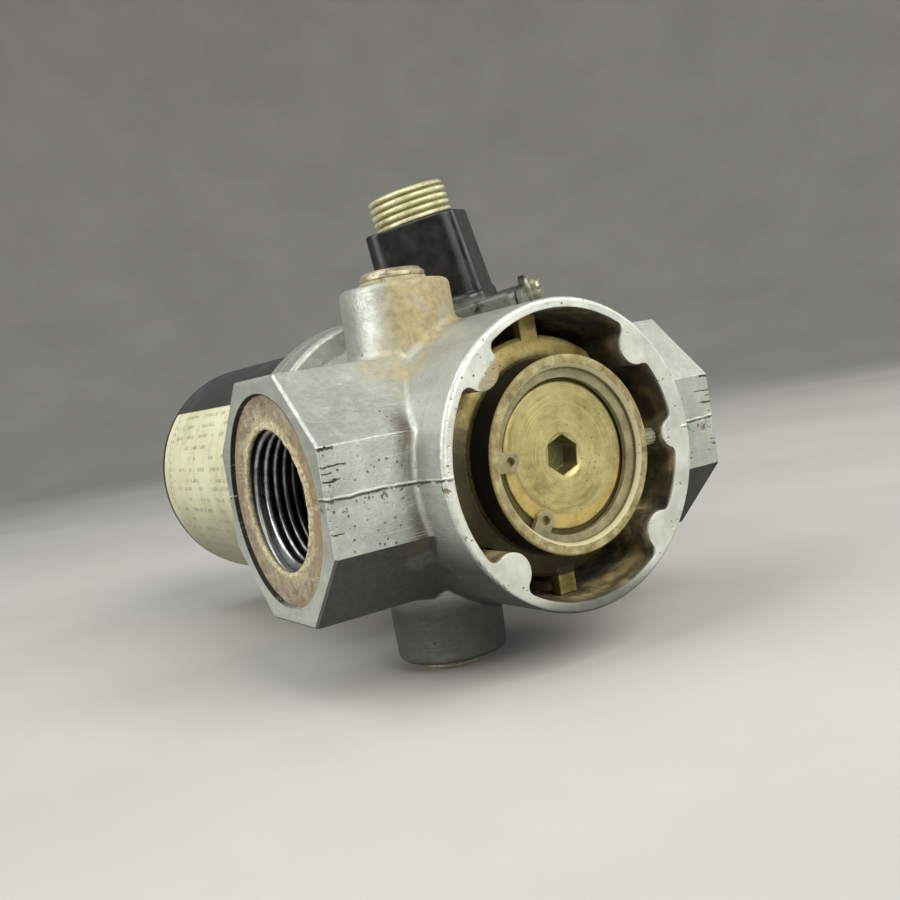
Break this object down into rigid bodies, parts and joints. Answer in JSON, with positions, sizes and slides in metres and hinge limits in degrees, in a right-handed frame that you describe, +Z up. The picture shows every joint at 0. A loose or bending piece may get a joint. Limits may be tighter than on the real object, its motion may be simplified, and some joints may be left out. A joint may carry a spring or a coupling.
{
  "type": "solenoid valve",
  "caption": "Die-cast two-port solenoid valve with octagonal threaded ports, side bosses, a round coil can, a conduit elbow and an open lobed front ring round a hex-socket flow adjuster.",
  "frame": {"origin": "on the floor plane under the lower screw plug, on the solenoid axis in plan, midway along the valve's length", "axes": "+X from the inlet port to the outlet port, +Y along the solenoid axis from the open front ring to the coil, +Z up through the two screw-plug bosses"},
  "size_m": [0.1102, 0.1906, 0.1195],
  "materials": {
    "cast_alloy": "as cast, scuffed",
    "zinc_plate": "zinc plated, dulled",
    "fibre_seal": "fibre sealing washer",
    "chromate_alloy": "yellow chromated, grimy",
    "seal_rubber": "nitrile",
    "bright_zinc": "bright zinc",
    "chromate_disc": "yellow chromated, turned",
    "spring_steel": "phosphated",
    "throttle_brass": "turned",
    "steel": "turned",
    "poppet_alloy": "turned",
    "bonnet_alloy": "as cast",
    "gasket_sheet": "sheet gasket",
    "can_black": "satin black",
    "rim_black": "satin black",
    "moulding": "moulded",
    "copper_wire": "enamelled winding wire",
    "label_film": "printed film, aged",
    "elbow_plastic": "moulded, glossy",
    "nipple_zinc": "yellow zinc plated",
    "brass_screw": "turned",
    "lead_sleeve": "insulated"
  },
  "bodies": {
    "valve": {"valve_body": "cast_alloy", "top_plug": "zinc_plate", "top_plug_seal": "fibre_seal", "bottom_plug": "zinc_plate", "bottom_plug_seal": "fibre_seal", "flow_sleeve": "chromate_alloy", "sleeve_o_ring": "seal_rubber", "index_screw": "bright_zinc", "retaining_ring": "spring_steel", "throttle_key": "steel", "return_spring": "spring_steel", "bonnet": "bonnet_alloy", "bonnet_gasket": "gasket_sheet", "bonnet_screws": "steel", "guide_bush": "throttle_brass", "guide_tube": "steel", "pole_piece": "steel", "solenoid_can": "can_black", "can_rim": "rim_black", "end_plate": "steel", "coil_bobbin": "moulding", "coil_winding": "copper_wire", "coil_nut": "steel", "coil_washer": "steel", "rating_label": "label_film", "terminal_box": "elbow_plastic", "terminal_cover": "elbow_plastic", "cover_screw": "bright_zinc", "conduit_nipple": "nipple_zinc", "terminal_strip": "moulding", "terminal_screws": "brass_screw", "box_screw": "steel", "coil_leads": "lead_sleeve"},
    "adjuster": {"adjuster_disc": "chromate_disc", "disc_o_ring": "seal_rubber"},
    "throttle": {"throttle_piston": "throttle_brass"},
    "plunger": {"poppet": "poppet_alloy", "poppet_seal": "seal_rubber", "poppet_nut": "steel", "stem": "steel", "armature": "steel"}
  },
  "joints": [
    {"name": "plunger_slide", "type": "slide", "parent": "valve", "child": "plunger", "axis": [0, 1, 0], "range_m": [0, 0.006], "stiffness_N_per_m": 1200, "springref_m": -0.02, "deforming": ["return_spring"]},
    {"name": "adjuster_turn", "type": "hinge", "parent": "valve", "child": "adjuster", "pos_m": [0, -0.0906, 0.047], "axis": [0, 1, 0], "range_deg": [-2300, 0]},
    {"name": "throttle_slide", "type": "slide", "parent": "valve", "child": "throttle", "axis": [0, 1, 0], "range_m": [0, 0.008]}
  ],
  "couplings": [
    {"joint": "throttle_slide", "follows": "adjuster_turn", "m_per_rad": -0.00019894}
  ]
}
